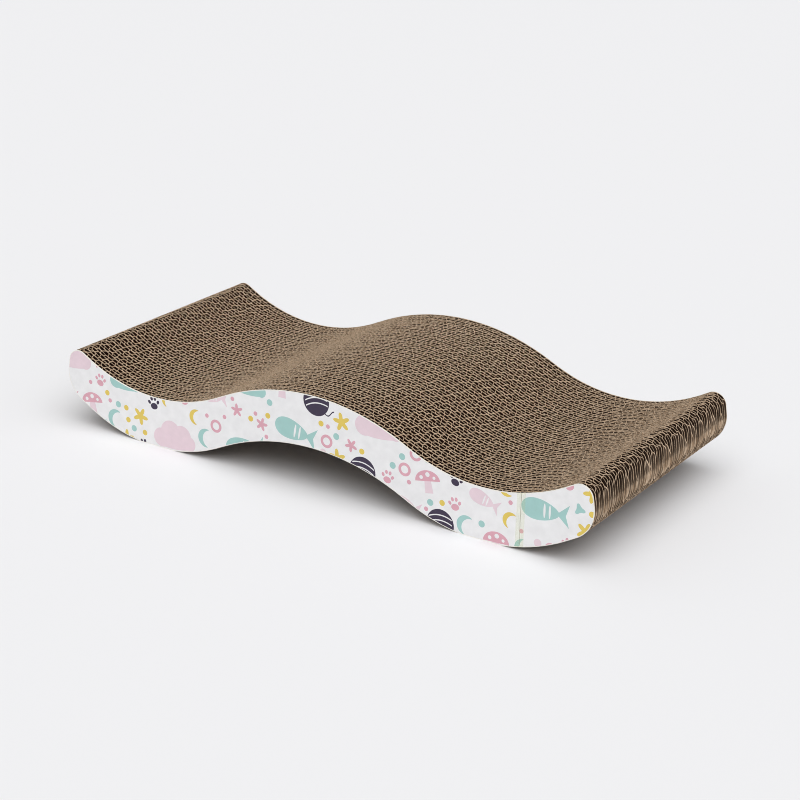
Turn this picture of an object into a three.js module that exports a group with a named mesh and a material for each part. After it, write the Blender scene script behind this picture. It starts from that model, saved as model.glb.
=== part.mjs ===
// Wavy scratching block for a cat. Strips of corrugated cardboard, all cut to one wave outline,
// stand on edge side by side and are glued into a solid block. Their flutes run upright, from the
// underside to the scratching surface, and the open ends of the flutes are what the cat claws.
// A printed paper sheet covers each side face. Nothing on the block moves.
//
// Millimetres. +X runs along the length, +Y from the front side face to the back one, +Z up.
// The origin lies on the floor, under the middle of the block.

import * as THREE from 'three';

const degrees = THREE.MathUtils.degToRad;
const quarterTurn = Math.PI / 2;

// Wave, measured on the scratching surface. The underside is the same line moved straight down, because
// the strips are nested in the sheet that they are cut from.
const stripHeight = 37.8;
const crestRadius = 167.5;
const valleyRadius = 125;
const flankLength = 10; // straight stretch between the crest and a valley
const flankAngle = degrees( 25.25 );
const tipAngle = degrees( 30 ); // at which each end rises
const tipLength = 17.7; // straight stretch from a valley to the end face, before its corner is rounded
const endLean = degrees( 9 ); // by which the end faces look upwards
const upperCornerRadius = 9;
const lowerCornerRadius = 22.5;
const footFlat = 31; // cut flat under each valley, where the block stands
const curveTolerance = 0.2; // between a curve and its facets

// Corrugated boards
const boardCount = 31;
const boardThickness = 6.1; // liners and flutes together
const linerThickness = 1.2; // left under the bottom of a flute
const flutePitch = 10.25;
const glueLine = 0.3; // between two pieces that are glued to each other
const endFlat = 5; // upright edge at the foremost point of a cut board
const cornerBreakShares = [ 0.25, 0.5, 0.75, 1 ]; // of the upper corner's turn, where the flutes break
const flutesPerBreak = 2; // flutes along the flat face before it breaks to follow the wave

// Printed side sheets
const printThickness = 0.35;
const spliceFromMiddle = 163; // where the front sheet is pieced

const boardStep = boardThickness + glueLine;
const blockWidth = boardCount * boardStep + glueLine + 2 * printThickness;

const matte = { roughness: 0.95, flatShading: true };
const coated = { roughness: 0.55, flatShading: true };
const cardboard = new THREE.MeshStandardMaterial( { color: '#a88a66', ...matte } );
const printedPaper = new THREE.MeshStandardMaterial( { color: '#e6e6e9', ...coated } );

// An arc of the side view, from one angle to another, as points within the curve tolerance.
function arc( centre, radius, start, end ) {

	const widestStep = 2 * Math.acos( 1 - Math.min( curveTolerance / radius, 1 ) );
	const steps = Math.ceil( Math.abs( end - start ) / widestStep );
	return Array.from( { length: steps + 1 }, ( _, i ) => {

		const angle = start + ( end - start ) * i / steps;
		const along = new THREE.Vector2( Math.cos( angle ), Math.sin( angle ) );
		return along.multiplyScalar( radius ).add( centre );

	} );

}

// The right half of the side view: the scratching surface and the underside, each from the middle of
// the crest to the foremost point of the end, and the places where the flutes break round that end.
function halfWave() {

	const footTurn = Math.asin( footFlat / 2 / valleyRadius );
	const valley = new THREE.Vector2(
		( crestRadius + valleyRadius ) * Math.sin( flankAngle ) + flankLength * Math.cos( flankAngle ),
		stripHeight + valleyRadius * Math.cos( footTurn )
	);
	const bothRadii = crestRadius + valleyRadius;
	const centreGap = bothRadii * Math.cos( flankAngle ) - flankLength * Math.sin( flankAngle );
	const crest = new THREE.Vector2( 0, valley.y - centreGap );
	const drop = new THREE.Vector2( 0, stripHeight );
	const crestBelow = crest.clone().sub( drop );
	const valleyBelow = valley.clone().sub( drop );

	// The end face runs down from the end of the tip, and a corner takes some of its length
	const tipRun = new THREE.Vector2( Math.cos( tipAngle ), Math.sin( tipAngle ) );
	const tipDown = new THREE.Vector2( tipRun.y, - tipRun.x );
	const tipStart = valley.clone().addScaledVector( tipDown, valleyRadius );
	const faceTop = tipStart.clone().addScaledVector( tipRun, tipLength );
	const faceRun = new THREE.Vector2( Math.sin( endLean ), - Math.cos( endLean ) );
	const faceOut = new THREE.Vector2( Math.cos( endLean ), Math.sin( endLean ) );
	const faceLength = stripHeight * Math.cos( tipAngle ) / Math.cos( tipAngle - endLean );
	const upperTurn = quarterTurn + tipAngle - endLean;
	const lowerTurn = quarterTurn - tipAngle + endLean;
	const upperTaken = upperCornerRadius * Math.tan( upperTurn / 2 );

	// The lower corner leaves room on the face for the upper one, and on the tip's underside for the foot
	const faceBottom = faceTop.clone().addScaledVector( faceRun, faceLength );
	const tipBelow = faceBottom.clone().sub( tipStart ).add( drop ).dot( tipRun );
	const lowerRoom = Math.min( faceLength - upperTaken, tipBelow );
	const lowerRadius = Math.min( lowerCornerRadius, lowerRoom / Math.tan( lowerTurn / 2 ) );
	const lowerTaken = lowerRadius * Math.tan( lowerTurn / 2 );
	const upperCorner = faceTop.clone().addScaledVector( faceRun, upperTaken );
	upperCorner.addScaledVector( faceOut, - upperCornerRadius );
	const lowerCorner = faceBottom.clone().addScaledVector( faceRun, - lowerTaken );
	lowerCorner.addScaledVector( faceOut, - lowerRadius );

	const surface = [
		...arc( crest, crestRadius, quarterTurn, quarterTurn - flankAngle ),
		...arc( valley, valleyRadius, - quarterTurn - flankAngle, - quarterTurn + tipAngle ),
		...arc( upperCorner, upperCornerRadius, endLean + upperTurn, endLean ),
		...arc( lowerCorner, lowerRadius, endLean, 0 )
	];
	const underside = [
		...arc( crestBelow, crestRadius, quarterTurn, quarterTurn - flankAngle ),
		...arc( valleyBelow, valleyRadius, - quarterTurn - flankAngle, - quarterTurn - footTurn ),
		...arc( valleyBelow, valleyRadius, - quarterTurn + footTurn, - quarterTurn + tipAngle ),
		...arc( lowerCorner, lowerRadius, endLean - lowerTurn, 0 )
	];
	const cornerX = ( share ) => upperCorner.x + upperCornerRadius * Math.cos( endLean + upperTurn * share );
	const endX = lowerCorner.x + Math.sqrt( lowerRadius ** 2 - ( endFlat / 2 ) ** 2 );
	return { surface, underside, tipBreaks: [ endX, ...cornerBreakShares.map( cornerX ) ] };

}

// A half line and its mirror image, as one line from the left end to the right one.
function bothHalves( half ) {

	const mirrored = half.slice( 1 ).reverse().map( ( point ) => new THREE.Vector2( - point.x, point.y ) );
	return [ ...mirrored, ...half ];

}

// The stretch of a line between two places along the length, with a point at each.
function stretch( line, fromX, toX ) {

	const pointAt = ( x ) => {

		const next = Math.max( line.findIndex( ( point ) => point.x >= x ), 1 );
		const [ a, b ] = [ line[ next - 1 ], line[ next ] ];
		return a.clone().lerp( b, ( x - a.x ) / ( b.x - a.x ) );

	};

	const inside = line.filter( ( point ) => point.x > fromX && point.x < toX );
	return [ pointAt( fromX ), ...inside, pointAt( toX ) ];

}

const { surface, underside, tipBreaks } = halfWave();
const surfaceLine = bothHalves( surface );
const undersideLine = bothHalves( underside );
const halfLength = surfaceLine.at( - 1 ).x;
const heightAt = ( line, x ) => stretch( line, x, x )[ 0 ].y;

// Places along a board where its fluted face turns, from left to right: close together round each
// end, and half a flute apart between them.
function fluteCorners() {

	const inner = tipBreaks.at( - 1 );
	const flutes = Math.round( 2 * inner / flutePitch );
	const between = Array.from( { length: 2 * flutes - 1 }, ( _, i ) => inner * ( ( i + 1 ) / flutes - 1 ) );
	return [ ...tipBreaks.map( ( x ) => - x ), ...between, ...tipBreaks.toReversed() ];

}

// One board. In plan it has a flat face and a face of flutes, open channels side by side, and that plan
// is carried up from the underside to the scratching surface. The flutes start with a ridge or a groove.
function boardGeometry( startsWithRidge ) {

	const corners = fluteCorners();
	const cornersPerBreak = 2 * flutesPerBreak;
	const first = tipBreaks.length - 1;
	const last = corners.length - 1;
	const breaks = corners.filter( ( _, i ) =>
		i <= first || i >= last - first || ( i - first ) % cornersPerBreak === 0 );
	const isRidge = ( i ) => ( i % 2 === 0 ) === startsWithRidge;

	const flatFace = breaks.map( ( x ) => ( { x, y: 0 } ) );
	const flutedFace = corners.map( ( x, i ) => ( { x, y: isRidge( i ) ? boardThickness : linerThickness } ) );
	const plan = [ ...flatFace, ...flutedFace ];
	const flat = flatFace.map( ( _, i ) => i );
	const fluted = flutedFace.map( ( _, i ) => flat.length + i );

	// Plan triangles, anticlockwise from above: each ridge between its two grooves, then the strip
	// between the grooves and the flat face.
	const cap = [];
	const grooves = fluted.filter( ( _, i ) => ! isRidge( i ) );
	fluted.forEach( ( ridge, i ) => {

		if ( isRidge( i ) ) cap.push( [ fluted[ i - 1 ] ?? flat[ 0 ], fluted[ i + 1 ] ?? flat.at( - 1 ), ridge ] );

	} );
	for ( let f = 0, g = 0; f < flat.length - 1 || g < grooves.length - 1; ) {

		const flatNext = plan[ flat[ f + 1 ] ]?.x ?? Infinity;
		const grooveNext = plan[ grooves[ g + 1 ] ]?.x ?? Infinity;
		if ( f < flat.length - 1 && flatNext <= grooveNext ) cap.push( [ flat[ f ], flat[ ++ f ], grooves[ g ] ] );
		else cap.push( [ flat[ f ], grooves[ g + 1 ], grooves[ g ++ ] ] );

	}

	const positions = [ undersideLine, surfaceLine ].flatMap( ( line ) =>
		plan.flatMap( ( { x, y } ) => [ x, y, heightAt( line, x ) ] ) );
	const up = plan.length;
	const ring = [ ...flat, ...fluted.toReversed() ];
	const walls = ring.flatMap( ( a, i ) => {

		const b = ring[ ( i + 1 ) % ring.length ];
		return [ a, b, b + up, a, b + up, a + up ];

	} );
	const floor = cap.flatMap( ( [ a, b, c ] ) => [ c, b, a ] );
	const roof = cap.flatMap( ( [ a, b, c ] ) => [ a + up, b + up, c + up ] );

	const geometry = new THREE.BufferGeometry();
	geometry.setAttribute( 'position', new THREE.Float32BufferAttribute( positions, 3 ) );
	geometry.setIndex( [ ...walls, ...floor, ...roof ] );
	geometry.computeVertexNormals();
	return geometry;

}

// A side sheet, cut to the wave between two places along the length. It lies in the plane of the side
// face, and its thickness runs from there towards the front.
function sheetGeometry( fromX, toX ) {

	const outline = [ ...stretch( undersideLine, fromX, toX ), ...stretch( surfaceLine, fromX, toX ).reverse() ];
	const distinct = outline.filter( ( point, i ) => ! point.equals( outline.at( i - 1 ) ) );
	const cut = { depth: printThickness, bevelEnabled: false };
	const geometry = new THREE.ExtrudeGeometry( new THREE.Shape( distinct ), cut );
	return geometry.rotateX( quarterTurn );

}

function named( name, geometry, material, y ) {

	const mesh = new THREE.Mesh( geometry, material );
	mesh.name = name;
	mesh.position.y = y;
	return mesh;

}

const block = new THREE.Group();
const frontY = - blockWidth / 2;

const boards = new THREE.Group();
for ( let i = 0; i < boardCount; i ++ ) {

	const number = String( i + 1 ).padStart( 2, '0' );
	const y = frontY + printThickness + glueLine + i * boardStep;
	boards.add( named( `corrugated_board_${ number }`, boardGeometry( i % 2 === 0 ), cardboard, y ) );

}

const sheets = new THREE.Group();
const frontSheetY = frontY + printThickness;
const longSheet = sheetGeometry( - halfLength, spliceFromMiddle );
const shortSheet = sheetGeometry( spliceFromMiddle + glueLine, halfLength );
const wholeSheet = sheetGeometry( - halfLength, halfLength );
sheets.add(
	named( 'front_print_long', longSheet, printedPaper, frontSheetY ),
	named( 'front_print_short', shortSheet, printedPaper, frontSheetY ),
	named( 'back_print', wholeSheet, printedPaper, - frontY )
);

block.add( boards, sheets );

export default block;
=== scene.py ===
import math
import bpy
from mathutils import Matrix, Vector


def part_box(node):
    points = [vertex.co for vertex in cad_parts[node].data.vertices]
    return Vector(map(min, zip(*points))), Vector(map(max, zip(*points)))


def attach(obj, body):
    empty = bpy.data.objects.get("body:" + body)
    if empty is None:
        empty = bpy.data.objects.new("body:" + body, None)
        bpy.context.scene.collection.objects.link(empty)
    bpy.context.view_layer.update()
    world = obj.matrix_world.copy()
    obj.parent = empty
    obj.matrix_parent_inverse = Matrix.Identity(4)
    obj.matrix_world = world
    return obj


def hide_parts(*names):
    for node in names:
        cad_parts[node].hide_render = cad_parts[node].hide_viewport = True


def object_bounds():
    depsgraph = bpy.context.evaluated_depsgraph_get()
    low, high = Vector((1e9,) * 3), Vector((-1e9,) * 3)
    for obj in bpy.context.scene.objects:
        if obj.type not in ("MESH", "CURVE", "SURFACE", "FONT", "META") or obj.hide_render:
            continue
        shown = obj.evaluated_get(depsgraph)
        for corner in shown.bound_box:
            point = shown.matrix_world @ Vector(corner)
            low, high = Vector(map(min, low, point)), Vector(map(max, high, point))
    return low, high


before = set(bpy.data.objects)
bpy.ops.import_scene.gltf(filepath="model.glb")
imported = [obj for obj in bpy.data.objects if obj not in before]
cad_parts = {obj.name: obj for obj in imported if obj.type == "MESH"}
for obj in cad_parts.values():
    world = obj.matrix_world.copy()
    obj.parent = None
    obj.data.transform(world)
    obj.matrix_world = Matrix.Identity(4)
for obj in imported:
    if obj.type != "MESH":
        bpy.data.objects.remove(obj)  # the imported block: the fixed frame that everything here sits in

from types import SimpleNamespace

import bpy
import numpy as np
from mathutils import Matrix
from mathutils.geometry import delaunay_2d_cdt

cadLow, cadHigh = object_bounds()

# Metres throughout. +X runs along the block, -Y is the front side face, +Z is up.

wave = {
    "stripHeight": 0.0378,  # straight up, from the underside to the scratching surface
    "crestRadius": 0.1675,  # the radii and lengths are of the scratching surface
    "valleyRadius": 0.125,
    "flankLength": 0.010,
    "flankAngle": math.radians(25.25),
    "tipAngle": math.radians(30),
    "tipLength": 0.0177,
    "endLean": math.radians(9),
    "upperCornerRadius": 0.009,
    "lowerCornerRadius": 0.0225,
    "footFlat": 0.031,
    "arcStep": math.radians(1.5),  # between two points of a curve
    "steepest": 40,  # slope past which a cut counts as no steeper
    "nudge": 1e-9,  # keeps two places apart that would be equal
}


def arcPoints(x, z, radius, start, end):
    # Points at equal angles on a circle about (x, z): x + radius * cos(angle), z + radius * sin(angle).
    steps = max(2, math.ceil(abs(end - start) / wave["arcStep"]))
    angle = np.linspace(start, end, steps + 1)
    return np.stack([x + radius * np.cos(angle), z + radius * np.sin(angle)], axis=1)


def waveLines():
    # The right half of the side view, as arcs joined by straight stretches: first the scratching
    # surface, then the underside, each from the middle of the crest to the foremost point of the end.
    # The underside is the surface line moved straight down, and cut flat where the block stands.
    w = wave
    quarter = math.pi / 2
    flank, tip, lean = w["flankAngle"], w["tipAngle"], w["endLean"]
    strip, crestR, valleyR = w["stripHeight"], w["crestRadius"], w["valleyRadius"]
    footTurn = math.asin(w["footFlat"] / 2 / valleyR)
    valleyX = (crestR + valleyR) * math.sin(flank) + w["flankLength"] * math.cos(flank)
    valleyZ = strip + valleyR * math.cos(footTurn)
    crestZ = valleyZ - (crestR + valleyR) * math.cos(flank) + w["flankLength"] * math.sin(flank)

    # The end face leans, and an upper and a lower corner take some of its length
    tipRun = np.array([math.cos(tip), math.sin(tip)])
    tipStart = np.array([valleyX, valleyZ]) + valleyR * np.array([tipRun[1], -tipRun[0]])
    faceTop = tipStart + w["tipLength"] * tipRun
    faceRun = np.array([math.sin(lean), -math.cos(lean)])
    faceOut = np.array([math.cos(lean), math.sin(lean)])
    faceLength = strip * math.cos(tip) / math.cos(tip - lean)
    upperTurn, lowerTurn = quarter + tip - lean, quarter - tip + lean
    upperR = w["upperCornerRadius"]
    upperTaken = upperR * math.tan(upperTurn / 2)
    faceBottom = faceTop + faceRun * faceLength
    tipBelow = (faceBottom - tipStart + [0, strip]) @ tipRun
    room = min(faceLength - upperTaken, tipBelow)
    lowerR = min(w["lowerCornerRadius"], room / math.tan(lowerTurn / 2))
    upperCentre = faceTop + faceRun * upperTaken - faceOut * upperR
    lowerCentre = faceBottom - faceRun * lowerR * math.tan(lowerTurn / 2) - faceOut * lowerR

    surface = np.concatenate([
        arcPoints(0, crestZ, crestR, quarter, quarter - flank),
        arcPoints(valleyX, valleyZ, valleyR, -quarter - flank, -quarter + tip),
        arcPoints(*upperCentre, upperR, lean + upperTurn, lean),
        arcPoints(*lowerCentre, lowerR, lean, 0),
    ])
    underside = np.concatenate([
        arcPoints(0, crestZ - strip, crestR, quarter, quarter - flank),
        arcPoints(valleyX, valleyZ - strip, valleyR, -quarter - flank, -quarter - footTurn),
        arcPoints(valleyX, valleyZ - strip, valleyR, -quarter + footTurn, -quarter + tip),
        arcPoints(*lowerCentre, lowerR, lean - lowerTurn, 0),
    ])
    return surface, underside


surfaceLine, undersideLine = waveLines()
halfLength = surfaceLine[-1, 0]
print("wave: half length %.2f mm, height %.2f mm" % (halfLength * 1000, surfaceLine[:, 1].max() * 1000))


def surfaceAt(x):
    # Height of the scratching surface: read off its line at the same distance from the middle.
    return np.interp(np.abs(x), surfaceLine[:, 0], surfaceLine[:, 1])


def undersideAt(x):
    # Height of the underside, in the same way.
    return np.interp(np.abs(x), undersideLine[:, 0], undersideLine[:, 1])


def cutSlant(x):
    # How much further straight down is than square to the cut: sqrt(1 + slope * slope) of the surface.
    places = surfaceLine[:, 0] + wave["nudge"] * np.arange(len(surfaceLine))
    slope = np.minimum(np.abs(np.gradient(surfaceLine[:, 1], places)), wave["steepest"])
    return np.interp(np.abs(x), surfaceLine[:, 0], np.sqrt(1 + slope ** 2))


def outlineRun(line, step):
    # Places on the outline at equal steps of its own length, as distances from the middle of the block.
    run = np.concatenate([[0], np.cumsum(np.hypot(*np.diff(line, axis=0).T))])
    return np.interp(np.linspace(0, run[-1], round(run[-1] / step) + 1), run, line[:, 0])


ends = {
    "length": 0.016,  # of the stretch at each end where the outline is steep
    "step": 0.0011,  # along the outline there
    "clear": 0.0001,  # from the last place of the even row
    "close": (0.00002, 0.0001, 0.0003, 0.0007, 0.0013, 0.0022),  # further places, so far in from the end
    "decimals": 7,  # to which places are rounded
}


def stations(step):
    # Places along the length: an even row, and at both ends, where the outline is steep, steps along
    # the outline itself and a few places close to the end.
    inner = halfLength - ends["length"]
    even = np.linspace(-inner, inner, round(2 * inner / step) + 1)
    steep = outlineRun(surfaceLine, ends["step"])
    steep = steep[steep > inner + ends["clear"]]
    close = halfLength - np.array(ends["close"])
    places = np.concatenate([even, steep, -steep, close, -close])
    return np.unique(np.round(places, ends["decimals"]))


boardSeed = 31  # starts the one row of random draws that the wander, the tears and the flutes share
rng = np.random.default_rng(boardSeed)

wander = {
    "waves": 18,  # sine waves that add up to the field
    "shortest": 0.006,
    "longest": 0.014,
    "atCut": 0.00012,  # how far the paper has moved sideways at a cut edge
    "inside": 0.00006,  # and deep inside the block
    "sideMargin": 0.010,  # over which it dies out towards a side face
}


def wanderField():
    # A smooth random field over the plan: a sum of sine waves of random direction, length and phase.
    turn = rng.uniform(0, 2 * np.pi, wander["waves"])
    number = 2 * np.pi / rng.uniform(wander["shortest"], wander["longest"], wander["waves"])
    phase = rng.uniform(0, 2 * np.pi, wander["waves"])

    def field(x, y):
        inWave = np.cos(turn)[:, None] * x.ravel() + np.sin(turn)[:, None] * y.ravel()
        total = np.sin(number[:, None] * inWave + phase[:, None]).sum(axis=0)
        return total.reshape(x.shape) / math.sqrt(wander["waves"] / 2)

    return field


cutField, insideField = wanderField(), wanderField()
blockHalfWidth = cadHigh.y


def wandered(x, y, cutShare):
    # Sideways shift of the paper: the inside field everywhere, and a share of the cut field.
    margin = np.clip((blockHalfWidth - np.abs(y)) / wander["sideMargin"], 0, 1)
    return margin * (wander["inside"] * insideField(x, y) + wander["atCut"] * cutShare * cutField(x, y))


paper = {
    "linerThickness": 0.00010,
    "fluteThickness": 0.00017,
    "coreThickness": 0.00014,  # of the liner between the two rows of flutes
    "coreShare": 0.44,  # where that liner stands in the board's thickness
    "crushed": 1.4,  # how much thicker the flutes' paper is at a cut edge
    "cutDepth": 0.0009,  # down to which it is crushed; it is pale down to half of this, and painted dark as shade below
    "crushedShare": 0.12,  # of a sheet's height, the most that this takes at the top
    "smoothShares": (0.40, 0.70),  # and at the bottom, where the saw smeared the end faces shut
    "roughness": 0.00022,  # how far the saw tore below the true cut
    "tornShare": 0.05,  # of a sheet's height, the most that the tears take
    "wanderShare": 0.3,  # of the wander at the cut, what is left at the cut depth
    "bigPitch": 0.00787,
    "smallPitch": 0.00652,
    "pitchSpread": 0.003,  # share by which a board's pitch may differ
    "peakShare": 0.32,  # of the third harmonic, which flattens the flutes against the liners
    "drifts": ((0.5, 0.07, 0.16), (0.2, 0.03, 0.05)),  # of the phase: strength, least and greatest wavelength
    "stepsPerFlute": 16,
    "linerStep": 0.0012,
    "squareEnd": 0.0006,  # length at each end over which a sheet turns square to the end face
    "endDepth": 0.010,  # how far in from an end face the light gets
    "insideLitAtEnd": (0.49, 0.38),  # painted light: how near a cut the inner paper there counts as, low down and high up, so it is painted less dark, and the cut itself, painted a little darker there as shade, which gets there in so many times less of that depth
    "cutShadedAtEnd": (0.48, 0.46),  # and the cut itself,
    "cutDarkening": 2,  # which gets there in so many times less of that depth
}


def shellFaces(rows, places):
    # The faces of a closed shell over two equal grids of points, one for each side of a sheet. With them
    # comes a 0 for each face of a side and a 1 for each face of an edge.
    a, b = np.arange(2 * rows * places).reshape(2, rows, places)

    def quads(p, q, r, s):
        return np.stack([p.ravel(), q.ravel(), r.ravel(), s.ravel()], axis=1)

    sides = np.concatenate([
        quads(a[:-1, :-1], a[1:, :-1], a[1:, 1:], a[:-1, 1:]),
        quads(b[:-1, :-1], b[:-1, 1:], b[1:, 1:], b[1:, :-1]),
    ])
    edges = np.concatenate([
        quads(b[-1, :-1], b[-1, 1:], a[-1, 1:], a[-1, :-1]),
        quads(a[0, :-1], a[0, 1:], b[0, 1:], b[0, :-1]),
        quads(b[:-1, 0], b[1:, 0], a[1:, 0], a[:-1, 0]),
        quads(a[:-1, -1], a[1:, -1], b[1:, -1], b[:-1, -1]),
    ])
    return np.concatenate([sides, edges]), np.repeat([0, 1], [len(sides), len(edges)])


def sheetSolid(x, y, thickness, crushed=1.0):
    # A sheet of paper on edge: the line (x, y) in plan, thickened by half a thickness to each side along
    # its normal, and carried up from the underside to the scratching surface in four rows of points. The
    # outer two rows lie on the torn cut edges, the inner two at the cut depth. A last value says how near
    # a cut each point counts as: 1 at a cut edge and 0 inside, and less far apart near an end face, where
    # light gets in. It is the mask of the painted shade: where it is low, the paper is painted nearly black.
    p = paper
    slope = np.gradient(y, x)
    normal = np.stack([-slope, np.ones_like(slope)]) / np.sqrt(1 + slope ** 2)
    square = np.clip((halfLength - np.abs(x)) / p["squareEnd"], 0, 1)
    tear = p["roughness"] * rng.random((2, len(x)))
    mostCrushed = (rng.uniform(*p["smoothShares"]), p["crushedShare"])
    rows, cutAndShadeMask = [], []
    for above, inset in ((0, 0), (0, 1), (1, 1), (1, 0)):
        half = thickness / 2 * (1 if inset else crushed)
        sides = np.array([1, -1])[:, None] * half
        px = x + sides * normal[0] * square
        py = y + sides * normal[1]
        low, high = undersideAt(px), surfaceAt(px)
        inward = np.full_like(px, p["cutDepth"]) if inset else tear[above]
        if not above:
            inward = inward * cutSlant(px)
        most = mostCrushed[above] if inset else p["tornShare"]
        inward = np.minimum(inward, most * (high - low))
        z = high - inward if above else low + inward
        rows.append(np.stack([px, py + wandered(px, py, p["wanderShare"] if inset else 1.0), z], axis=-1))
        # Near an end face, where light gets in, the inner paper is painted less dark and the cut edges take a
        # little of the painted shade.
        atEnd = np.clip(1 - (halfLength - np.abs(px)) / p["endDepth"], 0, 1)
        if inset:
            cutAndShadeMask.append(p["insideLitAtEnd"][above] * atEnd)
        else:
            cutAndShadeMask.append(1 - (1 - p["cutShadedAtEnd"][above]) * np.minimum(1, p["cutDarkening"] * atEnd))
    grid = np.stack(rows, axis=1)  # side, row, place along the sheet
    faces, slots = shellFaces(grid.shape[1], len(x))
    return grid.reshape(-1, 3), faces, slots, np.stack(cutAndShadeMask, axis=1).ravel()


def joined(solids):
    # Several meshes as one: their points one after the other, and their faces numbered to match.
    starts = np.cumsum([0] + [len(solid[0]) for solid in solids[:-1]])
    points, _, slots, cutAndShadeMask = (np.concatenate([solid[i] for solid in solids]) for i in range(4))
    faces = np.concatenate([solid[1] + start for solid, start in zip(solids, starts)])
    return points, faces, slots, cutAndShadeMask


sharpBend = math.radians(40)  # a bend beyond this shows as a sharp edge


def makePiece(name, points, faces, slots, materials):
    # A piece of the block from arrays: points, faces of equally many corners, and a slot for each face.
    mesh = bpy.data.meshes.new(name)
    corners = faces.shape[1]
    mesh.vertices.add(len(points))
    mesh.vertices.foreach_set("co", points.astype(np.float32).ravel())
    mesh.loops.add(faces.size)
    mesh.loops.foreach_set("vertex_index", faces.astype(np.int32).ravel())
    mesh.polygons.add(len(faces))
    mesh.polygons.foreach_set("loop_start", np.arange(0, faces.size, corners, dtype=np.int32))
    for material in materials:
        mesh.materials.append(material)
    mesh.polygons.foreach_set("material_index", slots.astype(np.int32))
    mesh.update(calc_edges=True)
    mesh.set_sharp_from_angle(angle=sharpBend)
    piece = bpy.data.objects.new(name, mesh)
    bpy.context.scene.collection.objects.link(piece)
    return piece


def fluteLine(x, pitch, low, high):
    # A row of flutes in plan: a sine wave between two liners, its peaks flattened by a third harmonic,
    # and its phase drifting slowly, because no two boards are cut at the same place.
    drift = sum(
        strength * np.sin(2 * np.pi * x / rng.uniform(least, greatest) + rng.uniform(0, 2 * np.pi))
        for strength, least, greatest in paper["drifts"]
    )
    ownPitch = pitch * rng.uniform(1 - paper["pitchSpread"], 1 + paper["pitchSpread"])
    phase = 2 * np.pi * x / ownPitch + rng.uniform(0, 2 * np.pi) + drift
    peak = paper["peakShare"]
    shape = (np.sin(phase) + peak * np.sin(3 * phase)) / (1 - peak)
    return (low + high) / 2 + (high - low) / 2 * np.clip(shape, -1, 1)


def boardPiece(number, front, back, materials):
    # One double-wall board: three flat liners, with small flutes between the first two and big ones
    # between the last two.
    p = paper
    core = front + p["coreShare"] * (back - front)
    liners = [
        (front + p["linerThickness"] / 2, p["linerThickness"]),
        (core, p["coreThickness"]),
        (back - p["linerThickness"] / 2, p["linerThickness"]),
    ]
    flutes = [
        (p["smallPitch"], front + p["linerThickness"], core - p["coreThickness"] / 2),
        (p["bigPitch"], core + p["coreThickness"] / 2, back - p["linerThickness"]),
    ]
    x = stations(p["linerStep"])
    solids = [sheetSolid(x, np.full_like(x, y), thickness) for y, thickness in liners]
    grip = p["fluteThickness"] / 2 * p["crushed"]
    for pitch, low, high in flutes:
        x = stations(pitch / p["stepsPerFlute"])
        line = fluteLine(x, pitch, low + grip, high - grip)
        solids.append(sheetSolid(x, line, p["fluteThickness"], p["crushed"]))
    points, faces, slots, cutAndShadeMask = joined(solids)
    piece = makePiece("board_%02d" % number, points, faces, slots, materials)
    # The "cut" value is the mask of the painted shade that the paper material blends in.
    piece.data.attributes.new("cut", "FLOAT", "POINT").data.foreach_set("value", cutAndShadeMask.astype(np.float32))
    return piece


white = (1.0, 1.0, 1.0)


def startMaterial(name):
    # A new material, with the few kinds of node that the finishes below are made of.
    material = bpy.data.materials.new(name)
    material.use_nodes = True
    nodes, links = material.node_tree.nodes, material.node_tree.links
    shader = nodes["Principled BSDF"]
    where = nodes.new("ShaderNodeTexCoord").outputs["Object"]

    def noise(scale, detail, stretch=(1, 1, 1)):
        mapping = nodes.new("ShaderNodeMapping")
        mapping.inputs["Scale"].default_value = stretch
        links.new(where, mapping.inputs["Vector"])
        texture = nodes.new("ShaderNodeTexNoise")
        texture.inputs["Scale"].default_value = scale
        texture.inputs["Detail"].default_value = detail
        links.new(mapping.outputs["Vector"], texture.inputs["Vector"])
        return texture.outputs["Fac"]

    def ramp(value, *stops):
        node = nodes.new("ShaderNodeValToRGB")
        while len(node.color_ramp.elements) < len(stops):
            node.color_ramp.elements.new(0.5)
        for element, (place, colour) in zip(node.color_ramp.elements, stops):
            element.position = place
            element.color = (*colour, 1)
        links.new(value, node.inputs["Fac"])
        return node.outputs["Color"]

    def blend(kind, share, first, second):
        # The share is a number or comes from another node.
        node = nodes.new("ShaderNodeMix")
        node.data_type = "RGBA"
        node.blend_type = kind
        if isinstance(share, float):
            node.inputs[0].default_value = share
        else:
            links.new(share, node.inputs[0])
        links.new(first, node.inputs[6])
        links.new(second, node.inputs[7])
        return node.outputs[2]

    def bump(value, strength, distance):
        node = nodes.new("ShaderNodeBump")
        node.inputs["Strength"].default_value = strength
        node.inputs["Distance"].default_value = distance
        links.new(value, node.inputs["Height"])
        links.new(node.outputs["Normal"], shader.inputs["Normal"])

    def attribute(name):
        node = nodes.new("ShaderNodeAttribute")
        node.attribute_name = name
        return node.outputs["Fac"]

    def colourFrom(value):
        links.new(value, shader.inputs["Base Color"])

    def surface(roughness, specular=None, alpha=None):
        for socket, value in (("Roughness", roughness), ("Specular IOR Level", specular), ("Alpha", alpha)):
            if value is not None:
                shader.inputs[socket].default_value = value

    return SimpleNamespace(
        material=material, shader=shader, noise=noise, ramp=ramp, blend=blend, bump=bump,
        attribute=attribute, colourFrom=colourFrom, surface=surface,
    )


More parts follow.
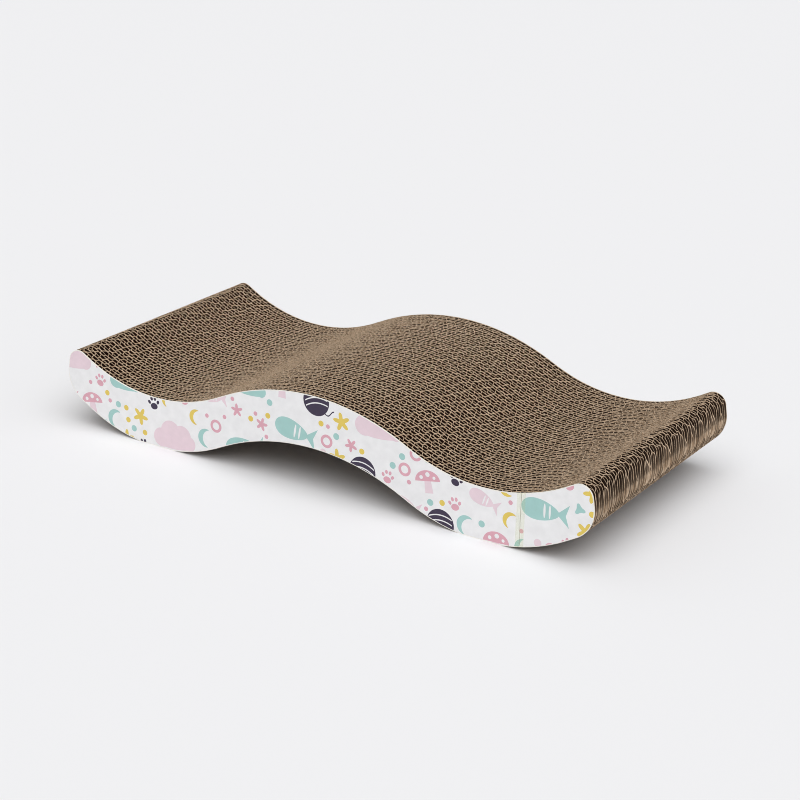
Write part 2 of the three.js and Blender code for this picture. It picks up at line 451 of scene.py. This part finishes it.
kraft = {
    "face": (0.030, 0.008, 0.001),  # painted shade: the paper inside the flutes, nearly black in place of the shade deep in them
    "facePaintedShadeDark": (0.016, 0.004, 0.0005),
    "edge": (0.870, 0.675, 0.490),  # of the torn cut edges, which are paler
    "edgeDark": (0.660, 0.497, 0.350),
    "paintedShadeToPaleCut": ((0.0, 0.0), (0.30, 0.04), (0.42, 0.30), (0.50, 1.0)),  # from the painted shade of the wall inside to the pale cut
    "contrast": (0.30, 0.70),  # between which a noise goes from dark to light
    "faceFibres": 900,  # how fine the fibres are
    "edgeFibres": 1800,
    "fibreDetail": 6,
    "fibreRun": (1, 1, 0.35),  # fibres, tone and streaks are drawn out where these are small
    "boardTone": 0.15,  # how strongly one board differs from the next
    "toneScale": 60,
    "toneDetail": 2,
    "toneRun": (0.12, 2.6, 0.12),
    "toneDark": (0.80, 0.78, 0.75),
    "streak": (0.66, 0.60, 0.54),  # how far an upright streak is darkened
    "streakScale": 700,
    "streakDetail": 2,
    "streakRun": (1, 1, 0.05),
    "streakContrast": (0.38, 0.56),
    "fuzzScale": 1.6,  # of the bumps, against the fibres
    "fuzzDetail": 4,
    "fuzzStrength": 0.35,
    "fuzzDepth": 0.0002,
    "roughness": 0.92,
    "specular": 0.22,
}


def kraftMaterial(name, fibreScale, paintShadeFromCut):
    # Brown paper: fine fibres in two tones, upright streaks of shadow, a slow change of tone from board
    # to board, and a fibrous bump. Where the last argument is set, the paper darkens from the pale cut
    # edge into the flute: this is painted shade, nearly black deep in the flute.
    k = kraft
    finish = startMaterial(name)
    darkest, lightest = k["contrast"]
    fibres = finish.noise(fibreScale, k["fibreDetail"], k["fibreRun"])
    tone = finish.noise(k["toneScale"], k["toneDetail"], k["toneRun"])
    base = finish.ramp(fibres, (darkest, k["edgeDark"]), (lightest, k["edge"]))
    if paintShadeFromCut:
        # Painted shade: a near-black colour for the paper below the pale cut edge, blended in by the "cut"
        # value.
        inside = finish.ramp(fibres, (darkest, k["facePaintedShadeDark"]), (lightest, k["face"]))
        stops = [(share, (pale, pale, pale)) for share, pale in k["paintedShadeToPaleCut"]]
        base = finish.blend("MIX", finish.ramp(finish.attribute("cut"), *stops), inside, base)
    shade = finish.ramp(tone, (darkest, k["toneDark"]), (lightest, white))
    toned = finish.blend("MULTIPLY", k["boardTone"], base, shade)
    streakDark, streakClear = k["streakContrast"]
    streaks = finish.noise(k["streakScale"], k["streakDetail"], k["streakRun"])
    streaks = finish.ramp(streaks, (streakDark, k["streak"]), (streakClear, white))
    finish.colourFrom(finish.blend("MULTIPLY", 1.0, toned, streaks))
    fuzz = finish.noise(fibreScale * k["fuzzScale"], k["fuzzDetail"])
    finish.bump(fuzz, k["fuzzStrength"], k["fuzzDepth"])
    finish.surface(k["roughness"], k["specular"])
    return finish.material


# The paper's sides, painted dark as shade inside the flutes, and its cut edges.
boardMaterials = [
    kraftMaterial("kraft_paper_painted_shade", kraft["faceFibres"], True),
    kraftMaterial("kraft_cut_edge", kraft["edgeFibres"], False),
]

boardNodes = sorted(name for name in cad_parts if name.startswith("corrugated_board_"))
boardFronts = [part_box(name)[0].y for name in boardNodes]
boardStep = boardFronts[1] - boardFronts[0]
glueGap = 0.00003  # left clear between the liners of two boards
for number, (node, front) in enumerate(zip(boardNodes, boardFronts), start=1):
    atBack = front + boardStep - glueGap if number < len(boardNodes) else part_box(node)[1].y
    piece = boardPiece(number, front, atBack, boardMaterials)
    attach(piece, "root")
    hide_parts(node)


# The printed side sheets

inks = {
    "paper": (0.905, 0.902, 0.908),
    "palePink": (0.845, 0.680, 0.740),
    "pink": (0.760, 0.410, 0.485),
    "teal": (0.390, 0.640, 0.610),
    "mustard": (0.800, 0.605, 0.123),
    "plum": (0.045, 0.032, 0.068),
    "edge": (0.930, 0.905, 0.840),  # the cut edge and the worn rim beside it, pale cream
}
inkNames = list(inks)

printSheet = {
    "washboard": 0.00002,  # depth of the ripples that the flutes press into the sheet
    "washPitch": 0.0080,
    "columnStep": 0.0010,  # between the upright lines that carry the ripples
    "wornRim": 0.0005,  # width along the cut where the saw took the ink off
    "tapeWidth": 0.0062,
    "tapeThickness": 0.00005,
    "tapeGap": 0.00001,  # left clear between the tape and the sheets
    "doubled": 0.000001,  # points of an outline nearer than this are one
    "motifMargin": 0.004,  # motifs may start this far outside the cut
    "motifGap": 0.0016,  # least room between two motifs
    "motifTries": 60,  # for each motif that is wanted
    "frontSeed": 7,
    "backSeed": 19,
}


def circle(x, y, radius, points=28, squash=1.0, turn=0.0):
    # A circle or an oval: radius * cos(angle), radius * squash * sin(angle), turned and moved.
    angle = np.linspace(0, 2 * np.pi, points, endpoint=False)
    u, v = radius * np.cos(angle), radius * squash * np.sin(angle)
    c, s = math.cos(turn), math.sin(turn)
    return np.stack([x + u * c - v * s, y + u * s + v * c], 1)


def fromTop(radius, angle):
    # Points at the given radii and angles, clockwise from the top.
    return np.stack([radius * np.sin(angle), radius * np.cos(angle)], 1)


def band(x, upper, lower):
    # A thin shape between two lines over the same places.
    return np.concatenate([np.stack([x, upper], 1), np.stack([x, lower], 1)[::-1]])


# Each motif is about one unit in radius, as a list of shapes with their inks, the lowest first.

def star(colour):
    # A soft five-pointed star: the radius swings five times a turn.
    angle = np.linspace(0, 2 * np.pi, 60, endpoint=False)
    return [(fromTop(0.70 + 0.30 * np.cos(5 * angle), angle), colour)]


def triangle(colour):
    # Three rounded corners: the radius swings three times a turn.
    angle = np.linspace(0, 2 * np.pi, 36, endpoint=False)
    return [(fromTop(0.72 + 0.24 * np.cos(3 * angle) + 0.05 * np.cos(6 * angle), angle), colour)]


def ring(colour):
    # A circle with a smaller one of bare paper in it.
    return [(circle(0, 0, 1), colour), (circle(0, 0, 0.58), "paper")]


def dot(colour):
    # A plain circle.
    return [(circle(0, 0, 1, 20), colour)]


def crescent(colour):
    # The outer half turn of a circle, closed by a flatter arc.
    outer = np.linspace(0.42 * np.pi, 1.58 * np.pi, 30)
    inner = np.linspace(1.40 * np.pi, 0.60 * np.pi, 24)
    a = np.stack([np.cos(outer), np.sin(outer)], 1)
    b = np.stack([0.50 + 0.92 * np.cos(inner), 0.95 * np.sin(inner)], 1)
    return [(np.concatenate([a, b]), colour)]


def cloud(colour):
    # Four overlapping circles on a flat oval.
    lobes = [(-0.55, -0.05, 0.36), (-0.12, 0.20, 0.44), (0.38, 0.12, 0.40), (0.68, -0.12, 0.28)]
    shapes = [(circle(x, y, r), colour) for x, y, r in lobes]
    return shapes + [(circle(0.05, -0.22, 0.86, 36, 0.24), colour)]


def rain(colour):
    # Three slanted drops side by side, each a thin oval.
    places = [(-0.5, 0.2), (0.0, -0.1), (0.5, 0.25)]
    return [(circle(x, y, 0.42, 18, 0.30, 1.25), colour) for x, y in places]


def fish(colour):
    # A leaf-shaped body with a forked tail and two stripes.
    t = np.linspace(0, 2 * np.pi, 48, endpoint=False)
    body = np.stack([-0.12 + 0.72 * np.cos(t), 0.38 * np.sin(t) * (1 - 0.25 * np.cos(t))], 1)
    tail = np.array([(0.50, 0.0), (0.98, 0.42), (0.84, 0.0), (0.98, -0.42)])
    stripes = [(circle(x, 0, 0.27 - 0.10 * x, 20, 0.16, np.pi / 2), "paper") for x in (0.04, 0.24)]
    return [(tail, colour), (body, colour), *stripes]


def mushroom(colour):
    # A half-round cap with pale spots on a tapered stem.
    angle = np.linspace(0, np.pi, 30)
    cap = np.stack([0.92 * np.cos(angle), 0.72 * np.sin(angle)], 1)
    stem = np.array([(-0.24, 0.06), (-0.30, -0.80), (0.30, -0.80), (0.24, 0.06)])
    places = [(-0.45, 0.25, 0.13), (0.05, 0.44, 0.16), (0.50, 0.22, 0.11)]
    spots = [(circle(x, y, r, 16), "paper") for x, y, r in places]
    return [(stem, "palePink"), (cap, colour), *spots]


def paw(colour):
    # A rounded pad with four toes.
    toes = [(-0.62, 0.18, -0.5), (-0.24, 0.60, -0.15), (0.24, 0.60, 0.15), (0.62, 0.18, 0.5)]
    shapes = [circle(0, -0.30, 0.50, 24, 0.78)]
    shapes += [circle(x, y, 0.25, 16, 0.74, np.pi / 2 - lean) for x, y, lean in toes]
    return [(shape, colour) for shape in shapes]


def yarn(colour):
    # A ball with three bowed threads across it, each drawn in where it would stick out, and a loose end.
    t = np.linspace(-0.85, 0.85, 16)
    bow = 0.28 * (1 - t ** 2)
    threads = []
    for height in (-0.40, -0.04, 0.32):
        thread = band(t, bow + height + 0.05, bow + height - 0.03)
        reach = np.hypot(thread[:, 0], thread[:, 1]).max()
        threads.append((thread / max(1, reach / 0.95), "paper"))
    t = np.linspace(0, 1, 18)
    sway = -0.80 - 0.14 * np.sin(5 * t)
    loose = band(0.55 + 0.75 * t, sway + 0.045, sway - 0.045)
    return [(loose, colour), (circle(0, 0, 1, 36), colour), *threads]


def sprinkle(colour):
    # Three short bars, each turned another way.
    places = [(-0.55, -0.1, 0.4), (0.05, 0.35, 1.7), (0.55, -0.25, 2.6)]
    return [(circle(x, y, 0.34, 12, 0.28, turn), colour) for x, y, turn in places]


# Each kind of motif: its shape, colour, radius, how many to try for, and how far it may lean.
motifKinds = [
    (cloud, "palePink", 0.0200, 3, 0.1),
    (fish, "teal", 0.0190, 3, 0.35),
    (yarn, "plum", 0.0105, 3, 0.6),
    (cloud, "teal", 0.0150, 2, 0.1),
    (mushroom, "pink", 0.0105, 4, 0.2),
    (fish, "palePink", 0.0130, 3, 0.4),
    (paw, "plum", 0.0062, 3, 0.5),
    (star, "mustard", 0.0068, 6, 0.6),
    (crescent, "teal", 0.0070, 5, 0.6),
    (paw, "pink", 0.0060, 6, 0.5),
    (crescent, "mustard", 0.0058, 4, 0.6),
    (ring, "pink", 0.0048, 6, 0.0),
    (star, "pink", 0.0050, 8, 0.6),
    (triangle, "teal", 0.0042, 7, 3.0),
    (rain, "teal", 0.0048, 6, 0.2),
    (sprinkle, "pink", 0.0046, 7, 3.0),
    (dot, "mustard", 0.0021, 12, 0.0),
    (dot, "teal", 0.0024, 14, 0.0),
    (dot, "palePink", 0.0028, 16, 0.0),
    (dot, "pink", 0.0016, 18, 0.0),
]


def scatter(seed):
    # Motifs at random places on the strip, the large ones first. One is kept where it lies clear of all
    # that are already there.
    s = printSheet
    dice = np.random.default_rng(seed)
    placed, shapes = [], []
    for shape, colour, radius, wanted, lean in motifKinds:
        found = 0
        for _ in range(wanted * s["motifTries"]):
            x = dice.uniform(-halfLength, halfLength)
            z = dice.uniform(undersideAt(x) - s["motifMargin"], surfaceAt(x) + s["motifMargin"])
            turn = dice.uniform(-lean, lean)
            if any(math.hypot(x - u, z - v) < radius + r + s["motifGap"] for u, v, r in placed):
                continue
            placed.append((x, z, radius))
            rotation = np.array([[math.cos(turn), math.sin(turn)], [-math.sin(turn), math.cos(turn)]])
            shapes += [(points @ rotation * radius + [x, z], ink) for points, ink in shape(colour)]
            found += 1
            if found == wanted:
                break
    return shapes


def anticlockwise(points):
    # Twice the enclosed area is the sum of x * next z - next x * z. It is negative for a clockwise outline.
    following = np.roll(points, -1, axis=0)
    area = (points[:, 0] * following[:, 1] - following[:, 0] * points[:, 1]).sum()
    return points if area > 0 else points[::-1]


def placesBetween(line, start, end):
    # The places of a wave line's points along the block, mirrored to both halves, between two others.
    x = np.concatenate([-line[::-1, 0], line[1:, 0]])
    return np.unique(np.concatenate([[start], x[(x > start) & (x < end)], [end]]))


def sheetOutline(start, end):
    # The cut outline between two places along the length: the underside one way, the surface back.
    lowX, highX = placesBetween(undersideLine, start, end), placesBetween(surfaceLine, start, end)
    lower = np.stack([lowX, undersideAt(lowX)], 1)
    upper = np.stack([highX, surfaceAt(highX)], 1)[::-1]
    outline = np.concatenate([lower, upper])
    step = np.hypot(*(outline - np.roll(outline, 1, axis=0)).T)
    return outline[step > printSheet["doubled"]]


def inkedOutline():
    # The outline of the whole block moved inwards, square to itself, by the width of the worn rim.
    outline = anticlockwise(sheetOutline(-halfLength, halfLength))
    along = np.roll(outline, -1, axis=0) - np.roll(outline, 1, axis=0)
    along /= np.linalg.norm(along, axis=1)[:, None]
    return outline + printSheet["wornRim"] * np.stack([-along[:, 1], along[:, 0]], 1)


def printedFace(start, end, shapes):
    # The face of a sheet cut to the wave, flat: its points, its triangles and the ink of each triangle.
    # The outline, the outlines of the ink and of all motifs and a row of upright lines are triangulated
    # together. A triangle takes the ink of the motif on top of it, or the cut edge's outside the ink.
    mm, exactness = 1000, 0.0001  # the triangulation works in millimetres, this exactly
    polygons = [sheetOutline(start, end), inkedOutline()] + [points for points, _ in shapes]
    polygons = [anticlockwise(points) for points in polygons]
    colours = ["paper", "paper"] + [ink for _, ink in shapes]
    near = [i for i, p in enumerate(polygons) if p[:, 0].max() > start and p[:, 0].min() < end]
    polygons, colours = [polygons[i] for i in near], [colours[i] for i in near]
    x = np.arange(start + printSheet["columnStep"], end, printSheet["columnStep"])
    columns = np.stack([np.stack([x, undersideAt(x)], 1), np.stack([x, surfaceAt(x)], 1)], 1)
    points = np.concatenate(polygons + [columns.reshape(-1, 2)]) * mm
    starts = np.cumsum([0] + [len(p) for p in polygons])
    faces = [list(range(a, b)) for a, b in zip(starts[:-1], starts[1:])]
    edges = [(starts[-1] + 2 * i, starts[-1] + 2 * i + 1) for i in range(len(x))]
    made = delaunay_2d_cdt([tuple(p) for p in points], edges, faces, 1, exactness)
    flat = np.array([tuple(v) for v in made[0]]) / mm
    kept = [(corners, origins) for corners, origins in zip(made[2], made[5]) if 0 in origins]
    triangles = np.array([corners for corners, _ in kept])
    shown = [colours[max(origins)] if 1 in origins else "edge" for _, origins in kept]
    a, b, c = (flat[triangles[:, i]] for i in range(3))
    turned = (b[:, 0] - a[:, 0]) * (c[:, 1] - a[:, 1]) - (b[:, 1] - a[:, 1]) * (c[:, 0] - a[:, 0]) < 0
    triangles[turned] = triangles[turned][:, ::-1]
    used, triangles = np.unique(triangles, return_inverse=True)
    return flat[used], triangles.reshape(-1, 3), [inkNames.index(ink) for ink in shown]


def rimOf(triangles):
    # The sides that belong to one triangle only, each in that triangle's own direction.
    sides = np.concatenate([triangles[:, [0, 1]], triangles[:, [1, 2]], triangles[:, [2, 0]]])
    twins = set(map(tuple, sides[:, ::-1].tolist()))
    return np.array([side for side in sides.tolist() if tuple(side) not in twins])


def printPiece(name, start, end, outerY, innerY, shapes, materials):
    # A sheet between two places along the length. Its outer face is rippled inwards by
    # depth * (1 - cos(2 pi x / pitch)) / 2, its inner face is flat, and walls along the rim close it. With
    # one material only, all faces take that one.
    flat, triangles, inkSlots = printedFace(start, end, shapes)
    inward = 1 if innerY > outerY else -1
    ripple = printSheet["washboard"] * (1 - np.cos(2 * np.pi * flat[:, 0] / printSheet["washPitch"])) / 2
    outer = np.stack([flat[:, 0], outerY + inward * ripple, flat[:, 1]], 1)
    inner = np.stack([flat[:, 0], np.full(len(flat), innerY), flat[:, 1]], 1)
    n = len(flat)
    facing = triangles[:, ::inward]
    p, q = rimOf(triangles)[:, ::inward].T
    walls = np.concatenate([np.stack([q, p, p + n], 1), np.stack([q, p + n, q + n], 1)])
    faces = np.concatenate([facing, facing[:, ::-1] + n, walls])
    paperSlots = [inkNames.index("paper")] * len(triangles)
    wallSlots = [inkNames.index("edge")] * len(walls)
    slots = np.minimum(inkSlots + paperSlots + wallSlots, len(materials) - 1)
    print(name, len(faces), "faces")
    return makePiece(name, np.concatenate([outer, inner]), faces, slots, materials)


coated = {
    "paler": 1.03,  # of the ink's own colour, where the mottle is lightest
    "duller": 0.95,  # and where it is darkest
    "mottleScale": 140,
    "mottleDetail": 4,
    "contrast": (0.30, 0.70),  # between which a noise goes from dark to light
    "grainScale": 2600,
    "grainDetail": 3,
    "grainStrength": 0.12,
    "grainDepth": 0.0001,
    "roughness": 0.48,
    "specular": 0.35,
}


def inkMaterial(name, colour):
    # Coated paper: a faint mottle in the ink, a fine paper grain and a satin surface.
    c = coated
    finish = startMaterial("print_" + name)
    darkest, lightest = c["contrast"]
    dull = tuple(part * c["duller"] for part in colour)
    pale = tuple(min(1.0, part * c["paler"]) for part in colour)
    mottle = finish.noise(c["mottleScale"], c["mottleDetail"])
    finish.colourFrom(finish.ramp(mottle, (darkest, dull), (lightest, pale)))
    finish.bump(finish.noise(c["grainScale"], c["grainDetail"]), c["grainStrength"], c["grainDepth"])
    finish.surface(c["roughness"], c["specular"])
    return finish.material


clearTape = {
    "milkyDark": (0.80, 0.86, 0.50),
    "milky": (0.92, 0.96, 0.60),
    "cloudScale": 300,
    "cloudDetail": 3,
    "contrast": (0.30, 0.70),
    "roughness": 0.30,
    "cover": 0.09,  # how far each face of it hides what is behind
}


def tapeMaterial():
    # Clear tape, slightly milky and yellowed.
    c = clearTape
    finish = startMaterial("clear_tape")
    darkest, lightest = c["contrast"]
    clouds = finish.noise(c["cloudScale"], c["cloudDetail"])
    finish.colourFrom(finish.ramp(clouds, (darkest, c["milkyDark"]), (lightest, c["milky"])))
    finish.surface(c["roughness"], alpha=c["cover"])
    return finish.material


inkMaterials = [inkMaterial(name, colour) for name, colour in inks.items()]

tapeRoom = printSheet["tapeThickness"] + printSheet["tapeGap"]
frontOuter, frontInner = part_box("front_print_long")[0].y + tapeRoom, boardFronts[0] - glueGap
backOuter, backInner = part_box("back_print")[1].y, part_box(boardNodes[-1])[1].y + glueGap
spliceLeft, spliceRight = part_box("front_print_long")[1].x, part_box("front_print_short")[0].x
frontMotifs, backMotifs = scatter(printSheet["frontSeed"]), scatter(printSheet["backSeed"])

# Each sheet: its piece, its node, where it starts and ends, its outer and inner face, and its motifs
sheets = [
    ("print_front_long", "front_print_long", -halfLength, spliceLeft, frontOuter, frontInner, frontMotifs),
    ("print_front_short", "front_print_short", spliceRight, halfLength, frontOuter, frontInner, frontMotifs),
    ("print_back", "back_print", -halfLength, halfLength, backOuter, backInner, backMotifs),
]
for name, node, *layout in sheets:
    piece = printPiece(name, *layout, inkMaterials)
    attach(piece, "root")
    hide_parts(node)

# The two front sheets are pieced with a strip of clear tape
splice, halfTape = (spliceLeft + spliceRight) / 2, printSheet["tapeWidth"] / 2
tapeOuter, tapeInner = frontOuter - tapeRoom, frontOuter - printSheet["tapeGap"]
tapePlace = (splice - halfTape, splice + halfTape, tapeOuter, tapeInner)
tape = printPiece("splice_tape", *tapePlace, [], [tapeMaterial()])
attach(tape, "root")


# Floor, light and camera

studio = {
    "floor": (0.870, 0.870, 0.885),
    "floorRoughness": 0.85,
    "floorSpecular": 0.10,
    "floorSize": 14.0,
    "worldStrength": 0.42,
}

# Azimuth is where one stands to look along the light: 0 is in front, -90 to the left, 180 behind.
frontLamp = {"azimuth": 38, "elevation": 66, "strength": 2.03, "softness": 74}


def makeFloor():
    # A large square of pale, slightly bluish studio floor.
    half = studio["floorSize"] / 2
    corners = [(-half, -half, 0), (half, -half, 0), (half, half, 0), (-half, half, 0)]
    mesh = bpy.data.meshes.new("floor")
    mesh.from_pydata(corners, [], [(0, 1, 2, 3)])
    floor = bpy.data.objects.new("floor", mesh)
    bpy.context.scene.collection.objects.link(floor)
    finish = startMaterial("studio_floor")
    finish.shader.inputs["Base Color"].default_value = (*studio["floor"], 1)
    finish.surface(studio["floorRoughness"], studio["floorSpecular"])
    mesh.materials.append(finish.material)


def makeLight():
    # An even white world, and one lamp as large and soft as a studio's.
    world = bpy.data.worlds.new("studio")
    bpy.context.scene.world = world
    world.use_nodes = True
    background = world.node_tree.nodes["Background"]
    background.inputs["Color"].default_value = (*white, 1)
    background.inputs["Strength"].default_value = studio["worldStrength"]
    light = bpy.data.lights.new("front_lamp", "SUN")
    light.energy = frontLamp["strength"]
    light.angle = math.radians(frontLamp["softness"])
    lamp = bpy.data.objects.new("front_lamp", light)
    lamp.rotation_euler = (math.radians(90 - frontLamp["elevation"]), 0, math.radians(frontLamp["azimuth"]))
    bpy.context.scene.collection.objects.link(lamp)


viewpoint = {
    "azimuth": math.radians(32.28),
    "elevation": math.radians(21.14),
    "roll": math.radians(1.49),
    "place": (0.7162, -1.1220, 0.5497),
    "lens": 90,  # millimetres, as the sensor's width
    "sensor": 36,
}


def makeCamera():
    # The camera looks against "back". It is then rolled about that axis.
    v = viewpoint
    back = np.array([
        math.sin(v["azimuth"]) * math.cos(v["elevation"]),
        -math.cos(v["azimuth"]) * math.cos(v["elevation"]),
        math.sin(v["elevation"]),
    ])
    right = np.cross([0, 0, 1], back)
    right /= np.linalg.norm(right)
    up = np.cross(back, right)
    c, s = math.cos(v["roll"]), math.sin(v["roll"])
    axes = np.stack([c * right + s * up, -s * right + c * up, back], axis=1)
    data = bpy.data.cameras.new("camera")
    data.lens = v["lens"]
    data.sensor_width = v["sensor"]
    camera = bpy.data.objects.new("camera", data)
    camera.matrix_world = Matrix.Translation(v["place"]) @ Matrix(axes.tolist()).to_4x4()
    bpy.context.scene.collection.objects.link(camera)
    bpy.context.scene.camera = camera


makeFloor()
makeLight()
makeCamera()
bpy.context.scene.view_settings.view_transform = "Standard"
bpy.context.scene.cycles.filter_width = 0.95  # in pixels: the photograph is crisp
print("floor, light and camera are in place")
